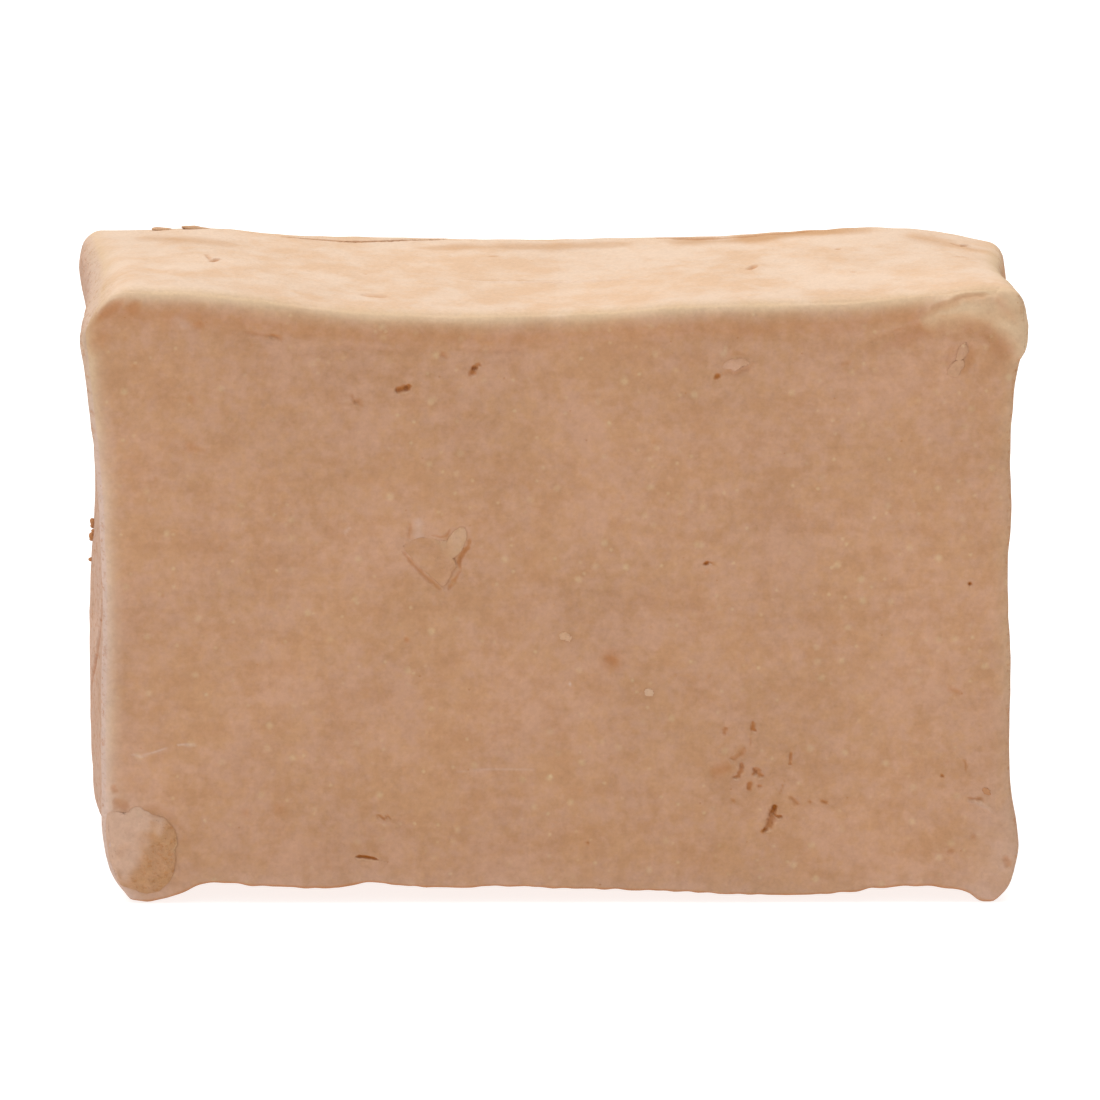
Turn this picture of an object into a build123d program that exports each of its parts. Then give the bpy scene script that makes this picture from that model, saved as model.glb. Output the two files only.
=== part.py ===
"""A pressed gymnastics chalk block with the bits of chalk that cling to it.

The block stands on one long narrow side. +Z is up, +X runs along the block, and the
broad front face looks towards -Y. The origin is at the centre of
the block's footprint. All sizes are in millimetres.
"""

import os

from build123d import *

# The pressed block
block_width = 75.0  # along X, between the flared top corners
block_depth = 26.0  # along Y, front face to back face
block_height = 50.0  # along Z, feet to top corners
base_inset = 1.0  # how far each end of the base stands in from the top corner above it
left_waist = 1.2  # how far the left side pulls in between its corners
right_waist = 1.3
top_sag = 1.5  # how far the top dips between its corners
foot_length = 9.0  # flat stretch at each end of the base
foot_blend = 20.0  # radius of the gentle bend from each foot into the hollow underside
under_hollow = 1.0  # rise of the underside between the feet
corner_radius = 1.8  # the four corners of the broad face
edge_radius = 1.2  # the edges round the front and back faces

# The smear of chalk folded over the lower left of the front face
flap_from_side = 0.6  # from the end of the edge rounding
flap_from_base = 0.4
flap_width = 5.4
flap_height = 6.4
flap_root_width = 3.4
flap_shoulder = 0.8  # where its rounded edge bulges, as a share of its width and its height
flap_step = 0.45  # how high its rounded edge ends, as a share of its height
flap_thickness = 0.5
flap_edge_radius = 0.2

# The thin flake lifted on the front face
flake_from_side = 24.6
flake_from_base = 25.8
flake_width = 5.6
flake_height = 4.7
flake_corners = ((0, 0.7), (0.55, 1), (1, 0.8), (0.85, 0.35), (0.57, 0))  # shares of width and height
flake_thickness = 0.4
flake_chamfer = 0.15

# Crumbs stuck to the left side, near the back face
crumb_sizes = (0.5, 0.6, 0.5)  # across each crumb's flats, from the highest down
crumb_pitch = 1.0
crumb_tilt = (30, 20, 40)  # turns about X, Y and Z that stand a crumb on its corner
crumbs_below_top = 23.4  # along the side, to the highest crumb
crumbs_from_back = 2.0
crumb_bite = 0.1  # how far a crumb's centre lies inside the side

# Coarse pale grains set in the front face: (from the middle, from the base, radius)
grain_places = ((0.3, 22.0, 0.5), (7.1, 17.3, 0.5), (0.7, 18.1, 0.35))
grain_depth = 0.5
grain_rise = 0.12

# One rust-coloured grain set in the front face, near the right side
rust_grain_from_side = 2.5
rust_grain_from_base = 8.9
rust_grain_radius = 0.4
rust_grain_depth = 0.5
rust_grain_rise = 0.15

# Pellets of loose chalk pressed on the front face, near the right side
pellet_edge_radius = 0.3
tall_pellet_size = (3.4, 1.5, 0.5)  # long, wide, thick
tall_pellet_turn = 90  # degrees from lying along X
tall_pellet_from_side = 6.1
tall_pellet_below_top = 6.4
flat_pellet_size = (2.4, 1.1, 0.4)
flat_pellet_turn = 10
flat_pellet_from_side = 23.8
flat_pellet_below_top = 5.9

# Splinters of pressing burr on the back top edge, near its left end
burr_size = (1.6, 0.7, 0.8)  # along X, along Y, along Z
burr_rise = 0.4  # how far a splinter stands out of the top
burr_first_from_corner = 6.2  # along the top
burr_pitch = 2.6
burr_count = 2

left_x = -block_width / 2
right_x = block_width / 2
front_y = -block_depth / 2
back_y = block_depth / 2
base_left_x = left_x + base_inset
base_right_x = right_x - base_inset
face_left_x = base_left_x + edge_radius  # where the flat of the front face begins
face_plane = Plane.XZ.offset(-front_y)  # lies on the front face, looking outwards

os.makedirs("parts", exist_ok=True)

# The pressed block, hollow-sided between its flared corners, with a seat for each coarse grain
side_middle = block_height / 2
left_middle_x = left_x + base_inset / 2 + left_waist
right_middle_x = right_x - base_inset / 2 - right_waist
foot_left_x = base_left_x + foot_length
foot_right_x = base_right_x - foot_length
rust_grain_x = base_right_x - rust_grain_from_side
outer_corner_x = base_right_x - corner_radius  # the four outer corners lie beyond it, the foot ends within
with BuildPart() as chalk_block:
    with BuildSketch(face_plane) as outline:
        with BuildLine():
            top_curve = ThreePointArc(
                (left_x, block_height), (0, block_height - top_sag), (right_x, block_height)
            )
            ThreePointArc((right_x, block_height), (right_middle_x, side_middle), (base_right_x, 0))
            Line((base_right_x, 0), (foot_right_x, 0))
            ThreePointArc((foot_right_x, 0), (0, under_hollow), (foot_left_x, 0))
            Line((foot_left_x, 0), (base_left_x, 0))
            left_curve = ThreePointArc(
                (base_left_x, 0), (left_middle_x, side_middle), (left_x, block_height)
            )
        make_face()
        foot_ends = outline.vertices().filter_by(lambda corner: abs(corner.X) < outer_corner_x)
        fillet(foot_ends, radius=foot_blend)
        block_corners = outline.vertices().filter_by(lambda corner: abs(corner.X) > outer_corner_x)
        fillet(block_corners, radius=corner_radius)
    extrude(amount=-block_depth)
    rim_edges = (
        chalk_block.faces().sort_by(Axis.Y)[0].edges() + chalk_block.faces().sort_by(Axis.Y)[-1].edges()
    )
    fillet(rim_edges, radius=edge_radius)
    with BuildSketch(face_plane):
        for from_middle, from_base, radius in grain_places:
            with Locations((from_middle, from_base)):
                Circle(radius)
    extrude(amount=-grain_depth, mode=Mode.SUBTRACT)
    with BuildSketch(face_plane):
        with Locations((rust_grain_x, rust_grain_from_base)):
            Circle(rust_grain_radius)
    extrude(amount=-rust_grain_depth, mode=Mode.SUBTRACT)

# The smear folded over the lower left corner, flat on the front face
flap_left_x = face_left_x + flap_from_side
flap_base_z = corner_radius + flap_from_base
flap_right_x = flap_left_x + flap_width
flap_step_z = flap_base_z + flap_step * flap_height
with BuildPart() as corner_flap:
    with BuildSketch(face_plane):
        with BuildLine():
            Line((flap_left_x, flap_base_z), (flap_left_x, flap_base_z + flap_height))
            ThreePointArc(
                (flap_left_x, flap_base_z + flap_height),
                (flap_left_x + flap_shoulder * flap_width, flap_base_z + flap_shoulder * flap_height),
                (flap_right_x, flap_step_z),
            )
            Line((flap_right_x, flap_step_z), (flap_left_x + flap_root_width, flap_base_z))
            Line((flap_left_x + flap_root_width, flap_base_z), (flap_left_x, flap_base_z))
        make_face()
    extrude(amount=flap_thickness)
    fillet(corner_flap.faces().sort_by(Axis.Y)[0].edges(), radius=flap_edge_radius)

# The three-cornered flake lifted near the middle of the front face
flake_left_x = left_x + flake_from_side
with BuildPart() as face_flake:
    with BuildSketch(face_plane):
        with BuildLine():
            Polyline(
                *(
                    (flake_left_x + across * flake_width, flake_from_base + up * flake_height)
                    for across, up in flake_corners
                ),
                close=True,
            )
        make_face()
    extrude(amount=flake_thickness)
    chamfer(face_flake.faces().sort_by(Axis.Y)[0].edges(), length=flake_chamfer)

# Three angular crumbs in a column on the left side, cut to the side they stick to
with BuildPart() as side_crumbs:
    for number, size in enumerate(crumb_sizes):
        along_side = left_curve.length - crumbs_below_top - number * crumb_pitch
        side_x, side_z, _ = left_curve.position_at(along_side, position_mode=PositionMode.LENGTH)
        with Locations((side_x + crumb_bite, back_y - crumbs_from_back, side_z)):
            Box(size, size, size, rotation=crumb_tilt)
    add(chalk_block.part, mode=Mode.SUBTRACT)

# Coarse grains, one in each seat, standing a little proud of the face
with BuildPart() as pale_grains:
    with BuildSketch(face_plane.offset(-grain_depth)):
        for from_middle, from_base, radius in grain_places:
            with Locations((from_middle, from_base)):
                Circle(radius)
    extrude(amount=grain_depth + grain_rise)

# The rust-coloured grain in its seat
with BuildPart() as rust_grain:
    with BuildSketch(face_plane.offset(-rust_grain_depth)):
        with Locations((rust_grain_x, rust_grain_from_base)):
            Circle(rust_grain_radius)
    extrude(amount=rust_grain_depth + rust_grain_rise)

# Two pellets squashed flat on the face: one upright, one lying
tall_pellet_place = (right_x - tall_pellet_from_side, block_height - tall_pellet_below_top)
flat_pellet_place = (right_x - flat_pellet_from_side, block_height - flat_pellet_below_top)
pellets = (
    (tall_pellet_place, tall_pellet_turn, tall_pellet_size),
    (flat_pellet_place, flat_pellet_turn, flat_pellet_size),
)
with BuildPart() as pressed_pellets:
    for place, turn, (pellet_long, pellet_wide, pellet_thick) in pellets:
        with BuildSketch(face_plane):
            with Locations(place):
                SlotOverall(pellet_long, pellet_wide, rotation=turn)
        pellet_faces = extrude(amount=pellet_thick).faces()
        fillet(pellet_faces.sort_by(Axis.Y)[0].edges(), radius=pellet_edge_radius)

# Splinters of burr on the back top edge, cut to the top they stand on
burr_long, burr_wide, burr_tall = burr_size
burr_y = back_y - edge_radius - burr_wide / 2
with BuildPart() as top_burrs:
    for number in range(burr_count):
        along_top = burr_first_from_corner + number * burr_pitch
        top_x, top_z, _ = top_curve.position_at(along_top, position_mode=PositionMode.LENGTH)
        with Locations((top_x, burr_y, top_z + burr_rise - burr_tall / 2)):
            Box(burr_long, burr_wide, burr_tall)
    add(chalk_block.part, mode=Mode.SUBTRACT)

for piece, name in (
    (chalk_block, "chalk_block"),
    (corner_flap, "corner_flap"),
    (face_flake, "face_flake"),
    (side_crumbs, "side_crumbs"),
    (pale_grains, "pale_grains"),
    (rust_grain, "rust_grain"),
    (pressed_pellets, "pressed_pellets"),
    (top_burrs, "top_burrs"),
):
    piece.part.label = name
    export_step(piece.part, f"parts/{name}.step")
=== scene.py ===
"""A pressed block of gym chalk with the bits of chalk that cling to it, in a plain studio.

The block stands on one long narrow side. +Z is up, +X runs along the block and its
broad front face looks towards -Y. The sizes that the block and its bits hold are in
millimetres, and places on a side are shares of its length and height. Points, meshes
and the studio are in metres.
"""

import logging
import math
from collections.abc import Callable
from dataclasses import dataclass, field
from enum import Enum

import bmesh
import bpy
import numpy as np
from mathutils import Matrix, Vector, noise
from mathutils.bvhtree import BVHTree


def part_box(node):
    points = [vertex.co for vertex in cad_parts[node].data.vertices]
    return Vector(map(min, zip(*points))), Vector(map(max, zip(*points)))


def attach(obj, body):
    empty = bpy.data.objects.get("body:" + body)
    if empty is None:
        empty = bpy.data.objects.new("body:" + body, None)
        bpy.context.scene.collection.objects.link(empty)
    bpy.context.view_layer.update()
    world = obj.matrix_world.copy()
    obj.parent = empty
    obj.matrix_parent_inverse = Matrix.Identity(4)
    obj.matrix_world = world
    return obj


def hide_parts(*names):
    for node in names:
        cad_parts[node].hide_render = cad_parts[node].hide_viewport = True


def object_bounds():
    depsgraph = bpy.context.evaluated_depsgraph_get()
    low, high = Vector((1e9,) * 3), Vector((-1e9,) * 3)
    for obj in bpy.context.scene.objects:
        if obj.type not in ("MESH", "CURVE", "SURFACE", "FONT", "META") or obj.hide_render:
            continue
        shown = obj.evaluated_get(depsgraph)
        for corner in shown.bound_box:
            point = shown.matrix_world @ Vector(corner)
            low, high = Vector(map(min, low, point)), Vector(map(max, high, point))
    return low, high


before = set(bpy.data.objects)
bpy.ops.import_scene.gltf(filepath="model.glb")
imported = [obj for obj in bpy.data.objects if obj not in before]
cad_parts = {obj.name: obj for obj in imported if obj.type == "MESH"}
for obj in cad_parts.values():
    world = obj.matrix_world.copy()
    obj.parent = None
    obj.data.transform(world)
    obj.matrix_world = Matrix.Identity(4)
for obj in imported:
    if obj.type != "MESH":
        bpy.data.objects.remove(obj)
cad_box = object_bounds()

log = logging.getLogger("chalk")

MM = 0.001
SHARP_PIT_WIDTH = 1.2  # a mark narrower than this, in millimetres, keeps its painted shade nearly to its rim
WIDE_MARK = 2.0  # a mark this wide, in millimetres, needs only the coarsest of the finer cells
ON_FACE = 1e-6  # how close to the front face counts as on it, in metres
Colour = tuple[float, float, float, float]
Place = tuple[float, float]


def srgb(red: float, green: float, blue: float) -> Colour:
    """Turns a colour from the 0 to 255 display scale to the linear scale that shaders use.

    Args:
        red: Red, 0 to 255.
        green: Green, 0 to 255.
        blue: Blue, 0 to 255.

    Returns:
        The linear colour, with an alpha of 1.
    """
    linear = [((level / 255 + 0.055) / 1.055) ** 2.4 for level in (red, green, blue)]
    return (linear[0], linear[1], linear[2], 1.0)


def smooth_step(low: float, high: float, values: np.ndarray) -> np.ndarray:
    """Rises smoothly from 0 at low to 1 at high; high may be the smaller one.

    Args:
        low: Where the step starts.
        high: Where it ends.
        values: The values to look up.

    Returns:
        The step's height at each value.
    """
    t = np.clip((values - low) / (high - low), 0, 1)
    return t * t * (3 - 2 * t)


def noise_at(points: np.ndarray, size: float, seed: float = 0.0) -> np.ndarray:
    """Smooth noise of about -1 to 1 at each point.

    Args:
        points: Points in metres, one a row.
        size: The size of the noise's lumps in millimetres.
        seed: A shift that gives another pattern.

    Returns:
        One noise value a point.
    """
    shifted = points / (size * MM) + seed
    return np.array([noise.noise(Vector(point)) for point in shifted])


class Side(Enum):
    """A side of the block: its outward axis, then -1 or 1 for which way it looks."""

    FRONT = (1, -1)
    BACK = (1, 1)
    LEFT = (0, -1)
    RIGHT = (0, 1)
    TOP = (2, 1)
    BOTTOM = (2, -1)


class StainOrPaintedLight(Enum):
    """The colour a mark leaves, by the name of the mesh attribute that holds it: the chalk's own rust, ochre
    and pale colours, painted shade for hollows, and for raised ridges a paler colour that is partly wear and
    partly a painted highlight.
    """

    # Painted shade in hollows, creases and pores, under the rim and on downward faces.
    PAINTED_SHADE = "hollow"
    RUST = "rust"
    PALE = "pale"
    OCHRE = "ochre"
    # Paler rims and ridges: partly wear, partly a painted highlight.
    WEAR_AND_HIGHLIGHT = "worn"


@dataclass(frozen=True)
class Box:
    """A straight box with its lowest and highest corners."""

    low: Vector
    high: Vector

    @property
    def size(self) -> Vector:
        """The box's length, depth and height."""
        return self.high - self.low

    @property
    def centre(self) -> Vector:
        """The middle of the box."""
        return (self.low + self.high) / 2

    def spot(self, side: Side, place: Place) -> Vector:
        """Finds a point on a side of the box.

        Args:
            side: The side.
            place: Shares along X or from front to back, then up or from front to back.

        Returns:
            The point in metres.
        """
        axis, way = side.value
        shares = list(place)
        shares.insert(axis, 1.0 if way > 0 else 0.0)
        return Vector(
            (
                self.low.x + shares[0] * self.size.x,
                self.low.y + shares[1] * self.size.y,
                self.low.z + shares[2] * self.size.z,
            )
        )


@dataclass(frozen=True)
class EdgeLine:
    """One long edge of the block: how far it stands in from the box along its length."""

    points: tuple[Place, ...]

    def inset(self, shares: np.ndarray) -> np.ndarray:
        """Reads the edge at some shares of its length.

        Args:
            shares: Shares of the edge's length, from the left or from the base.

        Returns:
            The insets in metres, on a smooth curve through the points.
        """
        at, value = np.array(self.points).T
        slope = np.gradient(value, at)
        first = np.clip(np.searchsorted(at, shares, side="right") - 1, 0, len(at) - 2)
        step = at[first + 1] - at[first]
        t = np.clip((shares - at[first]) / step, 0, 1)
        start = (2 * t**3 - 3 * t**2 + 1) * value[first] + (t**3 - 2 * t**2 + t) * step * slope[first]
        end = (3 * t**2 - 2 * t**3) * value[first + 1] + (t**3 - t**2) * step * slope[first + 1]
        return MM * (start + end)


@dataclass(frozen=True)
class Mark:
    """A pit, dent or crack along a path on a side, or a ridge where its depth is negative."""

    side: Side
    path: tuple[Place, ...]
    width: float
    depth: float
    strength: float = 0.6
    stain_or_light: StainOrPaintedLight = StainOrPaintedLight.PAINTED_SHADE
    ragged: float = 0.12
    lip: float = 0.0
    level: int = 2

    def spread(self, box: Box, points: np.ndarray) -> tuple[np.ndarray, np.ndarray]:
        """Measures how far points on the straight box are from the mark's path.

        Args:
            box: The straight box.
            points: Points on it, one a row.

        Returns:
            The distance of each point in metres, and how far along the path it lies, 0 to 1.
        """
        path = np.array([box.spot(self.side, place) for place in self.path])
        if len(path) == 1:
            return np.linalg.norm(points - path[0], axis=1), np.full(len(points), 0.5)
        lengths = np.linalg.norm(np.diff(path, axis=0), axis=1)
        starts = np.concatenate([[0], np.cumsum(lengths)])
        nearest = np.full(len(points), np.inf)
        along = np.zeros(len(points))
        for number, length in enumerate(lengths):
            run = path[number + 1] - path[number]
            t = np.clip((points - path[number]) @ run / length**2, 0, 1)
            distance = np.linalg.norm(points - path[number] - t[:, None] * run, axis=1)
            closer = distance < nearest
            nearest[closer] = distance[closer]
            along[closer] = (starts[number] + t[closer] * length) / starts[-1]
        return nearest, along

    def near(self, box: Box, points: np.ndarray, reach: float) -> np.ndarray:
        """Finds which points lie within reach, in millimetres, of the mark."""
        path = np.array([box.spot(self.side, place) for place in self.path])
        room = (reach + self.width / 2) * MM
        inside = ((points > path.min(0) - room) & (points < path.max(0) + room)).all(1)
        found = np.flatnonzero(inside)
        distance, _ = self.spread(box, points[found])
        return found[distance < room]

    def _taper(self, along: np.ndarray) -> np.ndarray:
        """How much of its width and depth a mark of three places or more keeps along its path."""
        if len(self.path) < 3:
            return np.ones(len(along))
        return np.sqrt(np.clip(1 - np.abs(2 * along - 1) ** 4, 0.04, 1))

    def carve(self, box: Box, points: np.ndarray, push: np.ndarray, stains_and_painted_light: dict[StainOrPaintedLight, np.ndarray]) -> None:
        """Adds the mark to the inward push, and to the colour of every point it reaches: painted shade, a
        painted highlight or the chalk's own staining.

        Args:
            box: The straight box.
            points: The block's points on it.
            push: How far each point goes inwards, in metres; added to.
            stains_and_painted_light: The strength of each colour, painted light among them, at each point;
                raised.
        """
        found = self.near(box, points, self.width + 4 * self.ragged)
        if not len(found):
            return
        distance, along = self.spread(box, points[found])
        taper = self._taper(along)
        half = self.width / 2 * MM * taper
        wander = self.ragged * MM * noise_at(points[found], max(3 * self.ragged, 0.3), self.path[0][0] * 90)
        share = np.clip(1 - (distance + wander) / half, 0, 1)
        bowl = share * share * (3 - 2 * share)
        push[found] += self.depth * MM * bowl * taper
        rim = np.exp(-(((distance + wander) / half - 1.25) ** 2) / 0.12)
        push[found] -= self.lip * MM * rim
        # Narrow marks keep their painted shade nearly to the rim.
        sharp = self.stain_or_light is StainOrPaintedLight.PAINTED_SHADE and self.width < SHARP_PIT_WIDTH
        inside = np.sqrt(bowl) if sharp else bowl
        stained_or_lit = stains_and_painted_light[self.stain_or_light]
        stained_or_lit[found] = np.maximum(stained_or_lit[found], self.strength * inside * taper)


@dataclass(frozen=True)
class Wire:
    """An output socket whose arithmetic adds Math nodes."""

    bench: "Bench"
    socket: bpy.types.NodeSocket

    def _maths(self, operation: str, first: "Wire | float", second: "Wire | float") -> "Wire":
        """Adds one Math node."""
        return self.bench.node("ShaderNodeMath", {"operation": operation}, {0: first, 1: second})

    def __add__(self, other: "Wire | float") -> "Wire":
        """Adds."""
        return self._maths("ADD", self, other)

    __radd__ = __add__

    def __sub__(self, other: "Wire | float") -> "Wire":
        """Subtracts."""
        return self._maths("SUBTRACT", self, other)

    def __rsub__(self, other: "Wire | float") -> "Wire":
        """Subtracts this from a number."""
        return self._maths("SUBTRACT", other, self)

    def __mul__(self, other: "Wire | float") -> "Wire":
        """Multiplies."""
        return self._maths("MULTIPLY", self, other)

    __rmul__ = __mul__


class Bench:
    """The node tree of one material, and the few ways its nodes are added."""

    def __init__(self, name: str) -> None:
        """Starts an empty material."""
        self.material = bpy.data.materials.new(name)
        self.material.use_nodes = True
        self.tree = self.material.node_tree
        self.tree.nodes.clear()

    def node(
        self,
        kind: str,
        settings: dict[str, object] | None = None,
        sockets: dict[str | int, object] | None = None,
        output: int = 0,
    ) -> Wire:
        """Adds a node.

        Args:
            kind: The node's type.
            settings: Its properties, set before its sockets.
            sockets: A value or a wire for each input, by name or number.
            output: The number of the output to hand back.

        Returns:
            That output.
        """
        made = self.tree.nodes.new(kind)
        for name, setting in (settings or {}).items():
            setattr(made, name, setting)
        for name, value in (sockets or {}).items():
            if isinstance(value, Wire):
                self.tree.links.new(value.socket, made.inputs[name])
            else:
                made.inputs[name].default_value = value
        return Wire(self, made.outputs[output]) if made.outputs else Wire(self, None)

    def clouds(self, place: Wire, size: float, detail: float = 2.0, rough: float = 0.55) -> Wire:
        """Soft noise of about 0 to 1, with lumps of the given size in millimetres."""
        sockets = {"Vector": place, "Scale": 1 / (size * MM), "Detail": detail, "Roughness": rough}
        return self.node("ShaderNodeTexNoise", {}, sockets)

    def shifted(self, place: Wire, scale: tuple[float, float, float], move: float) -> Wire:
        """The place stretched along each axis and moved, in metres."""
        return self.node("ShaderNodeMapping", {}, {"Vector": place, "Scale": scale, "Location": (move,) * 3})

    def step(self, value: Wire, low: float, high: float, top: float = 1.0) -> Wire:
        """Rises smoothly from 0 to top as the value goes from low to high."""
        sockets = {"Value": value, "From Min": low, "From Max": high, "To Max": top}
        return self.node("ShaderNodeMapRange", {"interpolation_type": "SMOOTHSTEP"}, sockets)

    def blend(self, first: Wire | Colour, second: Wire | Colour, share: Wire | float) -> Wire:
        """Mixes two colours."""
        return self.node("ShaderNodeMix", {"data_type": "RGBA"}, {0: share, 6: first, 7: second}, output=2)

    def scaled(self, colour: Wire, factor: Wire) -> Wire:
        """Makes a colour lighter or darker."""
        return self.node("ShaderNodeVectorMath", {"operation": "SCALE"}, {0: colour, "Scale": factor})

    def attribute(self, name: str) -> Wire:
        """Reads one of the mesh's own attributes."""
        return self.node("ShaderNodeAttribute", {"attribute_name": name}, output=2)

    def dots(self, place: Wire, pitch: float, radius: float, kept: float, move: float) -> Wire:
        """Scatters soft-edged round dots.

        Args:
            place: The place on the surface.
            pitch: The mean gap between dots in millimetres, were all of them kept.
            radius: The dots' radius in millimetres.
            kept: The share of the dots that show.
            move: A shift that gives another scatter.

        Returns:
            1 inside a dot and 0 outside.
        """
        moved = self.shifted(place, (1, 1, 1), move)
        sockets = {"Vector": moved, "Scale": 1 / (pitch * MM)}
        distance = self.node("ShaderNodeTexVoronoi", {}, sockets)
        chance = self.node("ShaderNodeTexVoronoi", {}, sockets, output=1)
        share = self.node("ShaderNodeSeparateColor", {}, {0: chance})
        wobble = self.clouds(place, radius * 1.2) * (0.8 * radius / pitch)
        inside = self.step(distance + wobble, 1.6 * radius / pitch, 0.55 * radius / pitch)
        return inside * self.step(share, 1 - kept, 1.04 - kept)


@dataclass(frozen=True)
class ChalkFinish:
    """Dry pressed chalk: a clouded, grainy, matt body, paler on top with dusting and painted top light, paler
    on rims and ridges with wear and a painted highlight, and darker in hollows, pores and on downward faces
    with painted shade.
    """

    name: str
    pinkish: Colour = srgb(189, 147, 120)
    yellowish: Colour = srgb(186, 143, 108)
    brownish: Colour = srgb(178, 132, 97)
    # The top colour: pale dusting together with painted top light.
    dusty_and_lit: Colour = srgb(216, 191, 169)
    streaked: Colour = srgb(205, 166, 130)
    # Paler colour for edges and ridges: wear together with a painted highlight.
    worn: Colour = srgb(205, 177, 145)
    # Pale colour of smears and scratches, also used for painted light up the left side.
    smear_and_painted_light: Colour = srgb(202, 175, 162)
    # Painted shade colour for hollows, creases, pores, the band under the rim and downward faces.
    hollow: Colour = srgb(168, 102, 40)
    rusty: Colour = srgb(178, 122, 80)
    ochre: Colour = srgb(184, 138, 94)
    speck: Colour = srgb(206, 180, 142)
    relief: float = 1.0
    move: float = 0.0

    def material(self) -> bpy.types.Material:
        """Builds the finish as a material.

        Returns:
            The new material.
        """
        bench = Bench(self.name)
        place = bench.node("ShaderNodeTexCoord", {}, {}, output=3)
        place = bench.shifted(place, (1, 1, 1), self.move)
        cloud = bench.clouds(place, 6.5, 3)
        patch = bench.clouds(bench.shifted(place, (1, 1, 1), 0.31), 2.6, 3, 0.6)
        mottle = bench.clouds(place, 0.9, 3, 0.6)
        grain = bench.clouds(place, 0.3, 2, 0.6)
        drag = bench.clouds(bench.shifted(place, (1, 5, 8), 0.17), 8, 4, 0.6)
        coarse = bench.attribute("coarse")

        tint = bench.clouds(bench.shifted(place, (1, 1, 1), 0.77), 0.8, 3, 0.6)
        hue = cloud + 0.4 * (patch - 0.5) + 1.1 * (tint - 0.5)
        colour = bench.blend(self.pinkish, self.yellowish, bench.step(hue, 0.25, 0.75))
        depth = patch + 0.6 * (drag - 0.5) + 0.3 * (tint - mottle)
        colour = bench.blend(colour, self.brownish, bench.step(depth, 0.36, 0.8, 0.6))
        pale_dots = bench.dots(place, 1.9, 0.38, 0.55, 0.11) + bench.dots(place, 1.1, 0.2, 0.5, 0.23)
        colour = bench.blend(colour, self.speck, pale_dots * 0.42 * bench.step(cloud, 0.25, 0.6))
        colour = bench.blend(colour, self.rusty, bench.dots(place, 2.4, 0.24, 0.4, 0.47) * 0.3)

        swept = bench.clouds(bench.shifted(place, (1, 0.9, 1), 0.41), 7, 4, 0.6)
        streaks = bench.step(swept + 0.35 * (patch - 0.5) + 0.2 * (mottle - 0.5), 0.36, 0.66)
        top = bench.blend(self.dusty_and_lit, self.streaked, streaks * 0.6)
        # Upward faces take the pale top colour: dusting together with painted top light.
        colour = bench.blend(colour, top, bench.attribute("dust_and_top_light"))
        # Rims and ridges go paler: wear together with a painted highlight.
        colour = bench.blend(colour, self.worn, bench.attribute("worn") * bench.step(patch, 0.05, 0.45))
        # Pale smears and scratches, and painted light on the left side and its crest.
        colour = bench.blend(colour, self.smear_and_painted_light, bench.attribute("pale"))
        colour = bench.blend(colour, self.ochre, bench.attribute("ochre"))
        colour = bench.blend(colour, self.rusty, bench.attribute("rust"))
        level = bench.clouds(bench.shifted(place, (1, 1, 1), 0.53), 12, 2)
        tone = 0.62 + 0.27 * mottle + 0.2 * grain + 0.24 * level
        tone = tone - bench.attribute("dust_and_top_light") * (0.2 * (mottle - 0.5) + 0.1 * (level - 0.5))
        colour = bench.scaled(colour, tone)
        # Pores and sandy pits, like hollows, creases and downward faces, darken with painted shade.
        pores = bench.dots(place, 1.3, 0.1, 0.22, 0.71) * 0.35
        pores = pores + coarse * bench.dots(place, 0.75, 0.14, 0.5, 0.83) * 0.6
        sand = bench.clouds(bench.shifted(place, (1, 0.5, 1), 0.61), 0.5, 3, 0.7)
        pores = pores + coarse * bench.step(sand, 0.5, 0.68, 0.4)
        colour = bench.blend(colour, self.hollow, bench.attribute("hollow") + pores)

        relief = self.relief * 1e-6
        height = mottle * (95 * relief) + patch * (60 * relief) + drag * (40 * relief)
        height = height + grain * (36 * relief) + coarse * grain * (80 * relief) - pores * 90e-6
        bump = bench.node("ShaderNodeBump", {}, {"Height": height, "Distance": 1.0, "Strength": 1.0})
        shader = bench.node(
            "ShaderNodeBsdfPrincipled",
            {},
            {
                "Base Color": colour,
                "Roughness": 0.86 + 0.12 * grain,
                "Specular IOR Level": 0.15,
                "Normal": bump,
            },
        )
        bench.node("ShaderNodeOutputMaterial", {}, {"Surface": shader})
        return bench.material


def coordinates(mesh: bmesh.types.BMesh) -> np.ndarray:
    """The mesh's points, one a row."""
    return np.array([vert.co[:] for vert in mesh.verts])


def normals(mesh: bmesh.types.BMesh) -> np.ndarray:
    """The mesh's outward directions at its points, one a row."""
    mesh.normal_update()
    return np.array([vert.normal[:] for vert in mesh.verts])


def move_to(mesh: bmesh.types.BMesh, points: np.ndarray) -> None:
    """Puts the mesh's points where the rows say."""
    for vert, point in zip(mesh.verts, points):
        vert.co = point


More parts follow.
